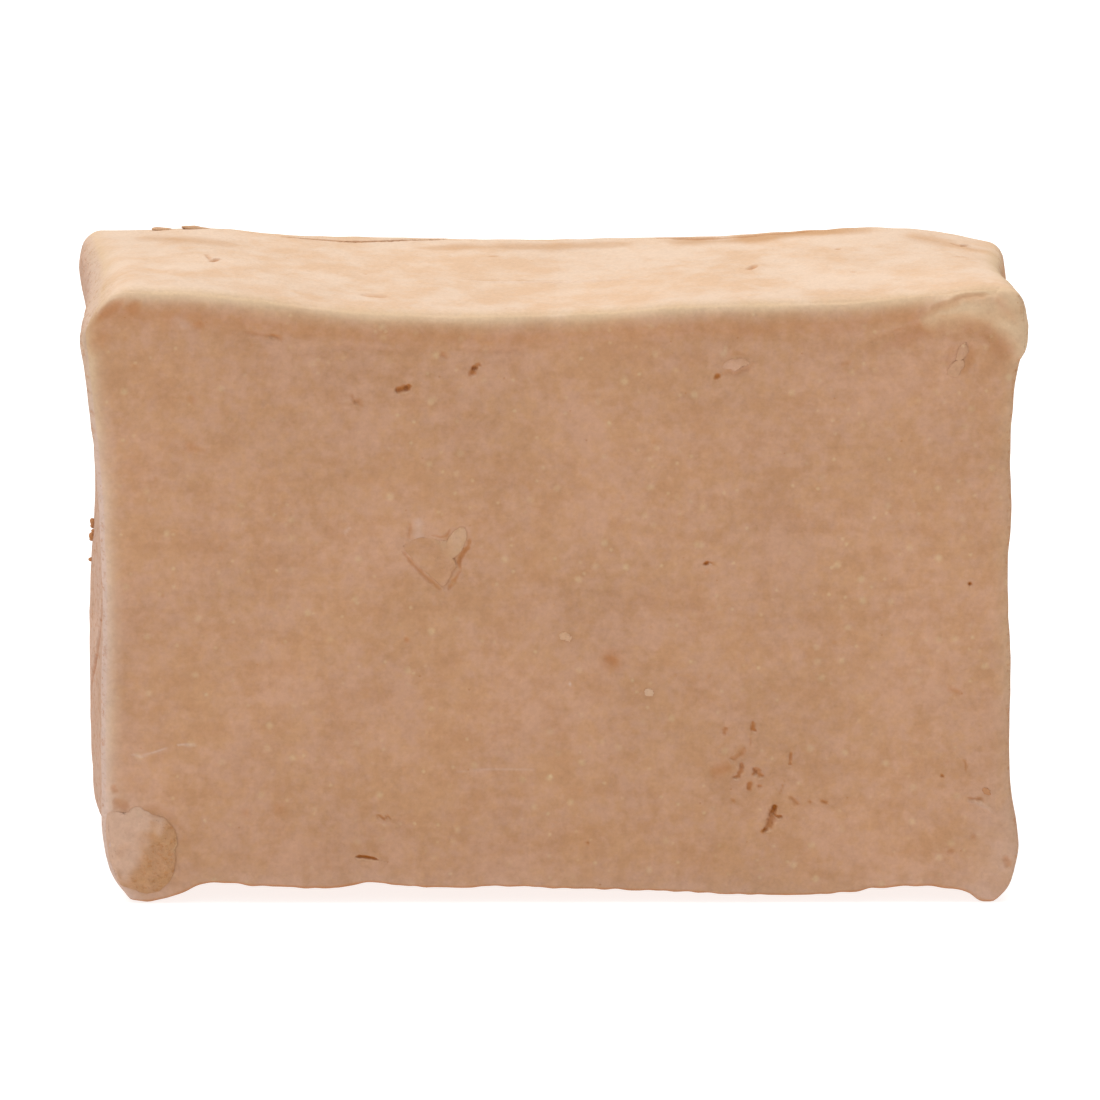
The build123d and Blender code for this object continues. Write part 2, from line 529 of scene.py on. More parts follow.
def finish_piece(
    mesh: bmesh.types.BMesh,
    name: str,
    nodes: tuple[str, ...],
    finish: ChalkFinish,
    attributes: dict[str, np.ndarray],
) -> bpy.types.Object:
    """Turns a shaped mesh into a finished piece of the object.

    Args:
        mesh: The shaped mesh; freed.
        name: The piece's name.
        nodes: The CAD nodes it stands for.
        finish: Its finish.
        attributes: A value for each point, by attribute name.

    Returns:
        The new object.
    """
    for face in mesh.faces:
        face.smooth = True
    data = bpy.data.meshes.new(name)
    mesh.to_mesh(data)
    mesh.free()
    for label, values in attributes.items():
        layer = data.attributes.new(label, "FLOAT", "POINT")
        layer.data.foreach_set("value", values.astype(np.float32))
    data.materials.append(finish.material())
    piece = bpy.data.objects.new(name, data)
    bpy.context.collection.objects.link(piece)
    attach(piece, "root")
    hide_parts(*nodes)
    triangles = sum(len(face.vertices) - 2 for face in data.polygons)
    log.info("%s: %d triangles", name, triangles)
    return piece


F, T, L = Side.FRONT, Side.TOP, Side.LEFT
B, R = Side.BACK, Side.RIGHT

# A mark given no other colour darkens with painted shade.
FRONT_MARKS = (
    # Open pits near the top
    Mark(F, ((0.330, 0.864), (0.336, 0.867), (0.343, 0.872)), 0.9, 0.3, 0.85, lip=0.04, level=3),
    Mark(F, ((0.342, 0.868), (0.344, 0.874)), 0.6, 0.25, 0.8, level=3),
    Mark(F, ((0.411, 0.897), (0.413, 0.905)), 0.7, 0.25, 0.8, lip=0.03, level=3),
    Mark(F, ((0.413, 0.908), (0.418, 0.912)), 0.6, 0.2, 0.6, level=3),
    Mark(F, ((0.382, 0.928),), 0.9, 0.15, 0.4),
    Mark(F, ((0.29, 0.84),), 1.0, 0.16, 0.3),
    Mark(F, ((0.283, 0.85), (0.287, 0.838)), 0.5, 0.12, 0.3),
    Mark(F, ((0.674, 0.876),), 0.7, 0.2, 0.85, level=3),
    Mark(F, ((0.675, 0.883), (0.691, 0.881), (0.705, 0.889), (0.711, 0.901)), 0.7, 0.1, 0.22, ragged=0.2),
    Mark(F, ((0.676, 0.905), (0.690, 0.914), (0.706, 0.910)), 0.6, 0.06, 0.14, ragged=0.2),
    Mark(F, ((0.806, 0.893), (0.812, 0.896)), 0.7, 0.08, 0.3, ragged=0.2),
    Mark(F, ((0.938, 0.912), (0.944, 0.888), (0.939, 0.86)), 1.3, 0.07, 0.22, ragged=0.3),
    Mark(F, ((0.921, 0.905), (0.918, 0.88)), 1.3, 0.06, 0.16, ragged=0.2),
    # Scattered dots
    Mark(F, ((0.957, 0.511),), 0.5, 0.25, 1.0, level=3),
    Mark(F, ((0.666, 0.561),), 0.6, 0.25, 0.95, level=3),
    Mark(F, ((0.668, 0.564), (0.674, 0.561)), 0.3, 0.1, 0.5),
    Mark(F, ((0.923, 0.188),), 0.45, 0.2, 0.9, level=3),
    Mark(F, ((0.514, 0.358),), 0.45, -0.05, 0.8, StainOrPaintedLight.PALE),
    Mark(F, ((0.335, 0.433),), 0.8, 0.06, 0.8, StainOrPaintedLight.RUST),
    Mark(F, ((0.158, 0.126),), 1.2, 0.04, 0.4, StainOrPaintedLight.RUST),
    Mark(F, ((0.195, 0.135),), 1.8, 0.04, 0.45, StainOrPaintedLight.RUST),
    Mark(F, ((0.022, 0.968), (0.034, 0.97)), 1.6, 0.08, 0.6, StainOrPaintedLight.RUST, 0.5),
    Mark(F, ((0.052, 0.972),), 1.6, 0.05, 0.55, StainOrPaintedLight.RUST, 0.5),
    Mark(F, ((0.010, 0.932), (0.024, 0.929)), 2.1, 0.05, 0.4, StainOrPaintedLight.RUST, 0.6),
    Mark(F, ((0.052, 0.876),), 1.1, 0.05, 0.6, StainOrPaintedLight.RUST, 0.3),
    Mark(F, ((0.126, 0.948),), 1.3, 0.05, 0.55, StainOrPaintedLight.RUST, 0.3),
    Mark(F, ((0.109, 0.82),), 1.0, 0.04, 0.4, StainOrPaintedLight.RUST, 0.3),
    Mark(F, ((0.105, 0.74), (0.118, 0.735)), 1.3, 0.04, 0.45, StainOrPaintedLight.RUST, 0.4),
    # Stained and rough patches
    Mark(F, ((0.56, 0.399),), 3.0, 0.05, 0.6, StainOrPaintedLight.RUST, 0.3),
    Mark(F, ((0.556, 0.402), (0.563, 0.398)), 0.9, 0.08, 0.3, ragged=0.25),
    Mark(F, ((0.678, 0.045), (0.683, 0.095)), 3.2, 0.08, 0.4, StainOrPaintedLight.OCHRE, 0.6),
    Mark(F, ((0.510, 0.08), (0.532, 0.11)), 2.6, 0.05, 0.25, StainOrPaintedLight.OCHRE, 0.6),
    Mark(F, ((0.528, 0.081),), 0.4, 0.15, 0.7),
    # The group of torn pits towards the lower right
    Mark(F, ((0.716, 0.297), (0.7155, 0.283), (0.720, 0.278)), 0.5, 0.16, 0.75, level=3),
    Mark(F, ((0.7135, 0.268), (0.7135, 0.258)), 0.3, 0.08, 0.3),
    Mark(F, ((0.686, 0.283), (0.685, 0.274)), 0.35, 0.12, 0.5),
    Mark(F, ((0.707, 0.252), (0.702, 0.238), (0.695, 0.23), (0.69, 0.232)), 0.7, 0.12, 0.4, lip=0.03,
         level=3),
    Mark(F, ((0.704, 0.226), (0.703, 0.212), (0.700, 0.202), (0.693, 0.199)), 0.55, 0.18, 0.6, lip=0.04,
         level=3),
    Mark(F, ((0.668, 0.208), (0.682, 0.211), (0.693, 0.217)), 1.7, 0.1, 0.35, ragged=0.35, lip=0.02),
    Mark(F, ((0.716, 0.217), (0.72, 0.207), (0.728, 0.202)), 0.7, 0.2, 0.65, lip=0.04, level=3),
    Mark(F, ((0.717, 0.206), (0.722, 0.213)), 0.7, 0.18, 0.6, level=3),
    Mark(F, ((0.712, 0.189), (0.711, 0.182)), 0.6, 0.16, 0.7, level=3),
    Mark(F, ((0.722, 0.186),), 0.55, 0.12, 0.55, level=3),
    Mark(F, ((0.758, 0.242), (0.757, 0.224)), 0.34, 0.12, 0.55, level=3),
    Mark(F, ((0.692, 0.16),), 0.45, 0.12, 0.5),
    Mark(F, ((0.7372, 0.154), (0.7335, 0.1425), (0.732, 0.133), (0.7295, 0.125), (0.727, 0.117),
             (0.7215, 0.11)), 0.8, 0.3, 0.6, lip=0.06, level=3),
    Mark(F, ((0.737, 0.152), (0.7335, 0.1415)), 0.5, 0.15, 1.0, level=3),
    Mark(F, ((0.733, 0.1385), (0.739, 0.1342), (0.7437, 0.1355)), 0.42, 0.2, 0.75, level=3),
    Mark(F, ((0.7225, 0.1115), (0.7205, 0.1095)), 0.6, 0.12, 0.85, level=3),
    Mark(F, ((0.757, 0.166), (0.761, 0.157)), 0.6, 0.12, 0.4, lip=0.03),
    Mark(F, ((0.776, 0.161),), 0.45, 0.16, 0.6),
    Mark(F, ((0.789, 0.161), (0.793, 0.158)), 0.45, 0.16, 0.6),
    Mark(F, ((0.752, 0.201), (0.747, 0.184), (0.743, 0.17)), 0.28, 0.08, 0.4),
    # The slot and the squiggle near the base
    Mark(F, ((0.270, 0.046), (0.283, 0.045), (0.295, 0.043)), 0.46, 0.3, 1.0, ragged=0.05, level=3),
    Mark(F, ((0.299, 0.121), (0.304, 0.124), (0.308, 0.117), (0.312, 0.124), (0.316, 0.118)), 0.3, 0.12,
         0.55),
    # Pale scratches
    Mark(F, ((0.032, 0.243), (0.043, 0.236), (0.060, 0.238), (0.075, 0.237)), 0.35, 0.05, 0.55, StainOrPaintedLight.PALE,
         0.05),
    Mark(F, ((0.085, 0.238), (0.104, 0.236)), 0.3, 0.04, 0.6, StainOrPaintedLight.PALE, 0.05),
    Mark(F, ((0.388, 0.205), (0.43, 0.208), (0.479, 0.207)), 0.3, 0.03, 0.3, StainOrPaintedLight.PALE, 0.05),
    # Round the lifted flake: grooves with painted shadow under its raised edges
    Mark(F, ((0.331, 0.588), (0.342, 0.567), (0.355, 0.547), (0.366, 0.533), (0.374, 0.520)), 0.5, 0.08, 0.4,
         level=3),
    Mark(F, ((0.406, 0.612), (0.402, 0.595), (0.395, 0.580), (0.393, 0.570), (0.396, 0.558)), 0.55, 0.1, 0.6,
         level=3),
    Mark(F, ((0.396, 0.558), (0.391, 0.546), (0.386, 0.533), (0.381, 0.521)), 0.45, 0.08, 0.45, level=3),
    Mark(F, ((0.362, 0.618), (0.373, 0.614), (0.380, 0.617), (0.384, 0.630)), 0.4, 0.05, 0.4, level=3),
    Mark(F, ((0.340, 0.635), (0.338, 0.612)), 0.3, 0.06, 0.3),
    Mark(F, ((0.349, 0.64), (0.349, 0.615)), 1.3, -0.03, 0.35, StainOrPaintedLight.PALE),
    Mark(F, ((0.272, 0.62), (0.268, 0.612)), 0.5, 0.06, 0.3, StainOrPaintedLight.PALE),
    # Beside the rust-coloured grain
    Mark(F, ((0.948, 0.148), (0.957, 0.147), (0.967, 0.142), (0.977, 0.138)), 0.7, -0.12, 0.3, StainOrPaintedLight.PALE),
    Mark(F, ((0.947, 0.153), (0.958, 0.152), (0.966, 0.158)), 0.5, 0.16, 0.5),
    Mark(F, ((0.949, 0.215), (0.950, 0.2)), 0.35, 0.1, 0.35),
    Mark(F, ((0.95, 0.089),), 0.7, 0.12, 0.35),
    Mark(F, ((0.928, 0.06),), 0.7, 0.12, 0.3),
    Mark(F, ((0.987, 0.07), (0.992, 0.062)), 0.8, 0.15, 0.35),
    Mark(F, ((0.933, 0.335), (0.942, 0.33)), 0.7, 0.1, 0.3),
    # Dents above the corner smear
    Mark(F, ((0.013, 0.194), (0.015, 0.186)), 0.7, 0.1, 0.35),
    Mark(F, ((0.015, 0.175), (0.020, 0.160), (0.030, 0.151)), 1.1, 0.16, 0.38, ragged=0.25),
    Mark(F, ((0.03, 0.155), (0.06, 0.14), (0.075, 0.115), (0.088, 0.09), (0.084, 0.062)), 1.3, 0.08, 0.12,
         ragged=0.4),
    # Creases and grooves under the rim with painted shade, and the raised lobe at the right painted paler as
    # a highlight
    Mark(F, ((0.832, 0.932), (0.865, 0.938), (0.898, 0.953), (0.93, 0.957)), 1.4, 0.12, 0.14, ragged=0.25),
    Mark(F, ((0.885, 0.962), (0.911, 0.976), (0.935, 0.986), (0.965, 0.988)), 1.0, 0.12, 0.3, ragged=0.2),
    Mark(F, ((0.845, 0.912), (0.88, 0.934), (0.911, 0.948), (0.935, 0.948), (0.958, 0.93), (0.977, 0.903),
             (0.986, 0.88)), 3.2, 0.22, 0.3, ragged=0.3),
    Mark(F, ((0.885, 0.952), (0.935, 0.968), (0.965, 0.957), (0.985, 0.93), (0.993, 0.90)), 4.2, -0.25, 1.0,
         StainOrPaintedLight.WEAR_AND_HIGHLIGHT, 0.25),
    Mark(F, ((0.975, 1.0), (0.988, 0.98), (0.996, 0.945), (0.999, 0.905), (0.997, 0.88)), 4.0, -0.45, 1.0,
         StainOrPaintedLight.WEAR_AND_HIGHLIGHT, 0.2),
    Mark(F, ((0.172, 0.942), (0.19, 0.941), (0.21, 0.94)), 0.6, 0.1, 0.25, ragged=0.06),
    Mark(F, ((0.203, 0.94), (0.21, 0.938)), 0.7, 0.12, 0.35),
    Mark(F, ((0.26, 0.935), (0.30, 0.934), (0.34, 0.933)), 0.9, 0.08, 0.1, ragged=0.2),
    Mark(F, ((0.395, 0.944), (0.42, 0.936), (0.47, 0.938)), 1.0, 0.1, 0.12, ragged=0.2),
    Mark(F, ((0.105, 0.953), (0.11, 0.945)), 1.6, -0.05, 0.25, StainOrPaintedLight.PALE),
)

TOP_MARKS = (
    Mark(T, ((0.126, 0.47), (0.133, 0.51)), 0.7, 0.22, 0.6),
    Mark(T, ((0.122, 0.55), (0.124, 0.50)), 0.5, 0.12, 0.35),
    Mark(T, ((0.212, 0.62),), 0.5, 0.12, 0.45),
    Mark(T, ((0.296, 0.47),), 0.45, 0.12, 0.5),
    Mark(T, ((0.295, 0.21), (0.312, 0.2)), 1.6, 0.16, 0.3),
    Mark(T, ((0.434, 0.72), (0.441, 0.715), (0.446, 0.72)), 0.35, 0.12, 0.6),
    Mark(T, ((0.722, 0.46), (0.728, 0.5)), 0.8, 0.2, 0.5),
    Mark(T, ((0.821, 0.67),), 0.6, 0.15, 0.6),
    Mark(T, ((0.833, 0.37),), 0.6, 0.1, 0.3),
    Mark(T, ((0.943, 0.80), (0.955, 0.77), (0.963, 0.82)), 0.55, 0.25, 0.7, lip=0.05),
    Mark(T, ((0.95, 0.58), (0.965, 0.585)), 0.4, 0.1, 0.35),
    Mark(T, ((0.21, 0.925), (0.241, 0.915), (0.28, 0.885), (0.328, 0.905), (0.394, 0.955)), 0.6, 0.5, 1.0,
         ragged=0.12, level=3),
    Mark(T, ((0.415, 0.413), (0.5, 0.4), (0.612, 0.4)), 0.7, -0.06, 0.25, StainOrPaintedLight.PALE),
    Mark(T, ((0.40, 0.44), (0.47, 0.43), (0.52, 0.42)), 0.5, 0.08, 0.3, StainOrPaintedLight.OCHRE),
    Mark(T, ((0.35, 0.80), (0.42, 0.85), (0.5, 0.84), (0.6, 0.87)), 4.0, 0.0, 0.5, StainOrPaintedLight.OCHRE, 1.2),
    Mark(T, ((0.63, 0.9), (0.70, 0.88), (0.78, 0.92), (0.86, 0.93)), 5.0, 0.0, 0.7, StainOrPaintedLight.OCHRE, 1.4),
    Mark(T, ((0.05, 0.85), (0.10, 0.78), (0.16, 0.7)), 5.0, 0.0, 0.45, StainOrPaintedLight.OCHRE, 1.2),
    Mark(T, ((0.90, 0.85), (0.97, 0.75)), 4.5, 0.0, 0.45, StainOrPaintedLight.OCHRE, 1.2),
    Mark(T, ((0.62, 0.95), (0.67, 0.93), (0.72, 0.93), (0.80, 0.95)), 0.9, 0.2, 0.6, ragged=0.4),
)

SIDE_MARKS = (
    Mark(L, ((0.50, 0.46), (0.60, 0.38), (0.72, 0.31), (0.80, 0.27), (0.86, 0.22)), 1.5, 0.6, 1.0,
         ragged=0.3),
    Mark(L, ((0.30, 0.34), (0.38, 0.26), (0.40, 0.17), (0.48, 0.12)), 1.9, 0.35, 0.9, ragged=0.5),
    Mark(L, ((0.62, 0.62), (0.66, 0.54), (0.58, 0.44)), 1.5, 0.4, 0.9, ragged=0.4),
    Mark(L, ((0.25, 0.95), (0.3, 0.93)), 2.2, 0.3, 0.8, ragged=0.5),
    Mark(L, ((0.82, 0.5), (0.84, 0.44), (0.8, 0.36)), 0.3, 0.18, 0.8, ragged=0.15),
    Mark(L, ((0.9, 0.83), (0.93, 0.81)), 0.8, 0.3, 0.6),
    Mark(L, ((0.55, 0.9),), 0.6, 0.2, 0.6),
    Mark(L, ((0.9, 0.45),), 0.5, 0.2, 0.7),
    Mark(L, ((0.35, 0.7), (0.42, 0.68), (0.46, 0.7)), 0.7, 0.16, 0.4),
    Mark(L, ((0.3, 0.18), (0.36, 0.16)), 0.9, 0.2, 0.4),
    Mark(R, ((0.3, 0.3), (0.36, 0.36), (0.37, 0.43)), 0.4, 0.2, 0.7),
    Mark(R, ((0.62, 0.72), (0.66, 0.70)), 0.9, 0.35, 0.8),
    Mark(R, ((0.45, 0.16),), 0.6, 0.2, 0.6),
    Mark(R, ((0.7, 0.48), (0.78, 0.5)), 1.4, 0.12, 0.35, StainOrPaintedLight.OCHRE, 0.4),
    Mark(B, ((0.25, 0.62), (0.262, 0.6), (0.278, 0.605)), 0.8, 0.4, 0.8, lip=0.05),
    Mark(B, ((0.7, 0.35), (0.71, 0.32), (0.7, 0.29)), 0.5, 0.3, 0.75),
    Mark(B, ((0.56, 0.8), (0.59, 0.805)), 0.7, 0.3, 0.7),
    Mark(B, ((0.42, 0.2), (0.425, 0.19)), 0.6, 0.3, 0.8),
    Mark(B, ((0.4, 0.42), (0.43, 0.45)), 2.4, 0.1, 0.4, StainOrPaintedLight.OCHRE, 0.5),
    Mark(B, ((0.82, 0.7), (0.86, 0.72), (0.88, 0.7)), 0.4, 0.12, 0.5),
    Mark(B, ((0.15, 0.2), (0.17, 0.18)), 0.9, 0.2, 0.5, StainOrPaintedLight.RUST),
)


@dataclass
class ChalkBlock:
    """The pressed block, its sides sunk in between flared corners, with its pits and cracks."""

    box: Box
    cell: float = 0.6
    round_radius: float = 1.15
    rim_radius: float = 0.35
    foot_sharpness: float = 0.88
    rim_bulge: float = 0.3
    side_waist: float = 0.9
    left_front: EdgeLine = EdgeLine(
        ((0, 3.6), (0.04, 2.2), (0.1, 1.4), (0.2, 1.3), (0.5, 1.4), (0.7, 1.0), (0.9, 0.0), (0.96, -0.3),
         (1, 0.8))
    )
    left_back: EdgeLine = EdgeLine(
        ((0, 1.9), (0.03, 1.0), (0.1, 0.6), (0.2, 0.4), (0.45, 0.4), (0.58, 0.8), (0.7, 0.5), (0.88, 0.0),
         (0.95, -0.5), (1, 0.1))
    )
    right_front: EdgeLine = EdgeLine(
        ((0, 2.3), (0.02, 1.4), (0.06, 0.6), (0.2, 1.1), (0.4, 1.3), (0.55, 1.6), (0.64, 1.4), (0.73, 1.6),
         (0.84, 1.2), (0.93, 0.4), (1, 1.0))
    )
    right_back: EdgeLine = EdgeLine(
        ((0, 1.2), (0.05, 0.5), (0.2, 0.5), (0.4, 1.0), (0.6, 1.1), (0.8, 0.6), (0.93, 0.1), (1, 0.6))
    )
    top_front: EdgeLine = EdgeLine(
        ((0, 2.0), (0.02, 0.6), (0.07, 0.2), (0.15, 0.6), (0.25, 1.5), (0.35, 2.0), (0.5, 2.0), (0.65, 1.2),
         (0.8, 1.0), (0.9, 0.4), (0.96, -0.1), (1, -0.1))
    )
    top_back: EdgeLine = EdgeLine(
        ((0, 0.5), (0.05, 0.4), (0.11, 0.2), (0.24, 0.8), (0.4, 1.0), (0.56, 1.1), (0.7, 0.8), (0.8, 0.3),
         (0.86, 0.2), (0.93, 0.5), (1, 1.5))
    )
    bottom_front: EdgeLine = EdgeLine(
        ((0, 0.2), (0.01, 0.1), (0.05, 0.5), (0.08, 1.4), (0.15, 1.4), (0.24, 1.3), (0.28, 1.7), (0.31, 1.4),
         (0.45, 1.3), (0.62, 0.9), (0.83, 0.8), (0.87, 1.2), (0.94, 1.2), (0.97, 0.7), (0.985, 0.1), (1, 0.0))
    )
    bottom_back: EdgeLine = EdgeLine(
        ((0, 0.3), (0.03, 0.02), (0.08, 0.1), (0.14, 0.6), (0.3, 1.0), (0.5, 1.1), (0.7, 0.9),
         (0.86, 0.4), (0.93, 0.05), (0.97, 0.02), (1, 0.3))
    )
    marks: tuple[Mark, ...] = FRONT_MARKS + TOP_MARKS + SIDE_MARKS
    skin: BVHTree | None = field(default=None, init=False)

    def build(self, finish: ChalkFinish) -> bpy.types.Object:
        """Builds and dresses the block.

        Args:
            finish: Its finish.

        Returns:
            The block's object.
        """
        mesh = bmesh.new()
        bmesh.ops.create_cube(mesh, size=1)
        bmesh.ops.scale(mesh, vec=self.box.size, verts=mesh.verts)
        bmesh.ops.translate(mesh, vec=self.box.centre, verts=mesh.verts)
        for axis in range(3):
            along = [edge for edge in mesh.edges if abs(self._run(edge)[axis]) > 1e-9]
            cuts = round(self.box.size[axis] / (self.cell * MM)) - 1
            bmesh.ops.subdivide_edges(mesh, edges=along, cuts=cuts, use_grid_fill=True)
        self._refine(mesh, self._near_rims)
        for level in (1, 2, 3):
            self._refine(mesh, lambda points, level=level: self._near_marks(points, level))
        straight = coordinates(mesh)
        move_to(mesh, self._warp(self._round(straight)))
        edge = self._edge_share(straight)
        self._roughen(mesh, straight, edge)
        stains_and_painted_light = self._carve(mesh, straight)
        points = coordinates(mesh)
        points[:, 2] = np.maximum(points[:, 2], self.box.low.z)
        move_to(mesh, points)
        facing = normals(mesh)
        below_rim = (self.box.high.z - straight[:, 2]) / MM
        front = self._on_front(straight)
        # Upward faces paler: dusting together with painted top light, reaching down the rounded upper rim.
        stains_and_painted_light["dust_and_top_light"] = smooth_step(0.15, 0.9, facing[:, 2])
        # Edges paler: wear together with a painted highlight along the rims, less of it on the right side.
        edge_wear_and_highlight = np.clip(edge, 0, 1) ** 2.2 * smooth_step(1, 6, self._above_floor(straight))
        edge_wear_and_highlight *= 1 - 0.65 * (straight[:, 0] > self.box.centre.x) * smooth_step(4, 9, below_rim)
        stains_and_painted_light["worn"] = np.maximum(stains_and_painted_light["worn"], edge_wear_and_highlight * (0.75 + 0.5 * noise_at(straight, 4, 3.0)))
        stains_and_painted_light["coarse"] = np.maximum(smooth_step(0.5, 0.9, np.abs(facing[:, 0])), 0.4 * (facing[:, 1] > 0.7))
        wavy = 2.0 + 0.7 * noise_at(straight * (1, 0, 0), 6, 31.0)
        # Painted shade: a greyish-brown band under the front rim, and downward-facing surfaces darker.
        shade = 0.2 * np.exp(-(((below_rim - wavy) / 0.7) ** 2)) * front
        shade = np.maximum(shade, 0.7 * smooth_step(-0.35, -0.8, facing[:, 2]))
        stains_and_painted_light["hollow"] = np.maximum(stains_and_painted_light["hollow"], shade)
        # Pale lower corners, and painted light along the left side and its crest.
        stains_and_painted_light["pale"] = np.maximum(stains_and_painted_light["pale"], self._pale_corners_and_painted_light(straight))
        self.skin = BVHTree.FromBMesh(mesh)
        return finish_piece(mesh, "pressed_block", ("chalk_block",), finish, stains_and_painted_light)

    def _above_floor(self, straight: np.ndarray) -> np.ndarray:
        """How far each point is above the base, in millimetres."""
        return (straight[:, 2] - self.box.low.z) / MM

    def _on_front(self, straight: np.ndarray) -> np.ndarray:
        """Which points of the straight box lie on its front face."""
        return straight[:, 1] < self.box.low.y + ON_FACE

    @staticmethod
    def _run(edge: bmesh.types.BMEdge) -> Vector:
        """The way from one end of an edge to the other."""
        return edge.verts[1].co - edge.verts[0].co

    @staticmethod
    def _refine(mesh: bmesh.types.BMesh, wanted: Callable[[np.ndarray], np.ndarray]) -> None:
        """Halves the cells where it is wanted.

        Args:
            mesh: The mesh.
            wanted: Says for each point whether it is in a part to refine.
        """
        mesh.verts.index_update()
        chosen = wanted(coordinates(mesh))
        edges = [edge for edge in mesh.edges if chosen[edge.verts[0].index] and chosen[edge.verts[1].index]]
        bmesh.ops.subdivide_edges(mesh, edges=edges, cuts=1, use_grid_fill=True)
        bmesh.ops.triangulate(mesh, faces=[face for face in mesh.faces if len(face.verts) > 4])

    def _near_rims(self, points: np.ndarray) -> np.ndarray:
        """Picks the points along the front and the top back rims."""
        low, high = np.array(self.box.low), np.array(self.box.high)
        gap = np.minimum(points - low, high - points)
        near = np.sort(gap, axis=1)[:, 1] < 1.7 * MM
        front = points[:, 1] < low[1] + 2 * MM
        top_back = (points[:, 2] > high[2] - 2 * MM) & (points[:, 1] > high[1] - 2 * MM)
        return near & (front | top_back)

    def _near_marks(self, points: np.ndarray, level: int) -> np.ndarray:
        """Picks the points close enough to a mark to need cells of this level."""
        reach = {1: 0.9, 2: 0.4, 3: 0.16}[level]
        chosen = np.zeros(len(points), bool)
        for mark in self.marks:
            if mark.level >= level and (level == 1 or mark.width < WIDE_MARK):
                chosen[mark.near(self.box, points, reach)] = True
        return chosen

    def _edge_share(self, straight: np.ndarray) -> np.ndarray:
        """How much each point belongs to an edge, from 1 on it to 0 a few millimetres off."""
        low, high = np.array(self.box.low), np.array(self.box.high)
        gap = np.sort(np.minimum(straight - low, high - straight), axis=1)[:, 1]
        return np.exp(-((gap / (1.5 * MM)) ** 2))

    def _round(self, points: np.ndarray) -> np.ndarray:
        """Rounds every edge and corner of the straight box.

        Args:
            points: Points on the straight box.

        Returns:
            The same points on the rounded box.
        """
        low, high = np.array(self.box.low), np.array(self.box.high)
        to_rim = np.hypot(points[:, 1] - low[1], high[2] - points[:, 2]) / MM
        rolled = self.rim_radius * np.exp(-((to_rim / 5) ** 2))
        lower = self.foot_sharpness * smooth_step(6, 0, self._above_floor(points))
        radius = ((self.round_radius + rolled - lower) * MM)[:, None]
        core = np.clip(points, low + radius, high - radius)
        out = points - core
        length = np.linalg.norm(out, axis=1, keepdims=True)
        return core + out * radius / np.maximum(length, 1e-9)

    def touched(self, side: Side, place: Place) -> tuple[Vector, Vector]:
        """Finds the finished surface at a place on a side, coming in from 2 mm outside it.

        Args:
            side: The side.
            place: The place.

        Returns:
            The point on the surface, and the way it faces there.
        """
        axis, way = side.value
        start = Vector(self.laid(side, (place,))[0])
        start[axis] += way * 2 * MM
        spot, facing, _, _ = self.skin.find_nearest(start)
        return spot, facing

    def laid(self, side: Side, outline: tuple[Place, ...]) -> np.ndarray:
        """Finds where places on a side of the straight box come to lie on the warped block.

        Args:
            side: The side.
            outline: The places.

        Returns:
            The points in metres, one a row.
        """
        return self._warp(np.array([self.box.spot(side, place) for place in outline]))

    def _warp(self, points: np.ndarray) -> np.ndarray:
        """Pulls the sides in between the corners, as the edge lines say.

        Args:
            points: Points on the rounded box.

        Returns:
            The same points on the warped block.
        """
        low, size = np.array(self.box.low), np.array(self.box.size)
        share = np.clip((points - low) / size, 0, 1)
        back = smooth_step(0, 1, share[:, 1])

        def between(front: EdgeLine, rear: EdgeLine, at: np.ndarray) -> np.ndarray:
            """The inset between the front and the back edge line."""
            return front.inset(at) * (1 - back) + rear.inset(at) * back

        waist = self.side_waist * MM * np.sin(np.pi * share[:, 1]) ** 2
        left = low[0] + between(self.left_front, self.left_back, share[:, 2]) + 0.6 * waist
        right = low[0] + size[0] - between(self.right_front, self.right_back, share[:, 2]) - waist
        base = low[2] + between(self.bottom_front, self.bottom_back, share[:, 0])
        top = low[2] + size[2] - between(self.top_front, self.top_back, share[:, 0])
        warped = points.copy()
        warped[:, 0] = left + (right - left) * share[:, 0]
        warped[:, 2] = base + (top - base) * share[:, 2]
        return warped

    def _roughen(self, mesh: bmesh.types.BMesh, straight: np.ndarray, edge: np.ndarray) -> None:
        """Adds the slow waves and small lumps of hand-pressed chalk, and the swollen rim.

        Args:
            mesh: The warped block.
            straight: Its points on the straight box.
            edge: How much each point belongs to an edge.
        """
        waves = 0.14 * noise_at(straight, 13) + 0.07 * noise_at(straight, 5, 7.0)
        lumps = (0.022 + 0.05 * edge) * noise_at(straight, 1.7, 11.0)
        at_base = np.exp(-((self._above_floor(straight) / 0.8) ** 2))
        lumps += 0.11 * at_base * noise_at(straight, 1.3, 23.0)
        share = (straight - np.array(self.box.low)) / np.array(self.box.size)
        below_rim = (1 - share[:, 2]) * self.box.size.z / MM
        front = self._on_front(straight)
        swell = 0.75 + 0.3 * noise_at(straight * (1, 0, 0), 9, 5.0) + 0.3 * noise_at(straight, 3.5, 6.0)
        bulge = self.rim_bulge * swell * np.exp(-((below_rim / 1.6) ** 2))
        bulge -= 0.16 * np.exp(-(((below_rim - 3.4) / 1.2) ** 2))
        out = waves + lumps + np.where(front, bulge, 0)
        move_to(mesh, coordinates(mesh) + normals(mesh) * (out * MM)[:, None])

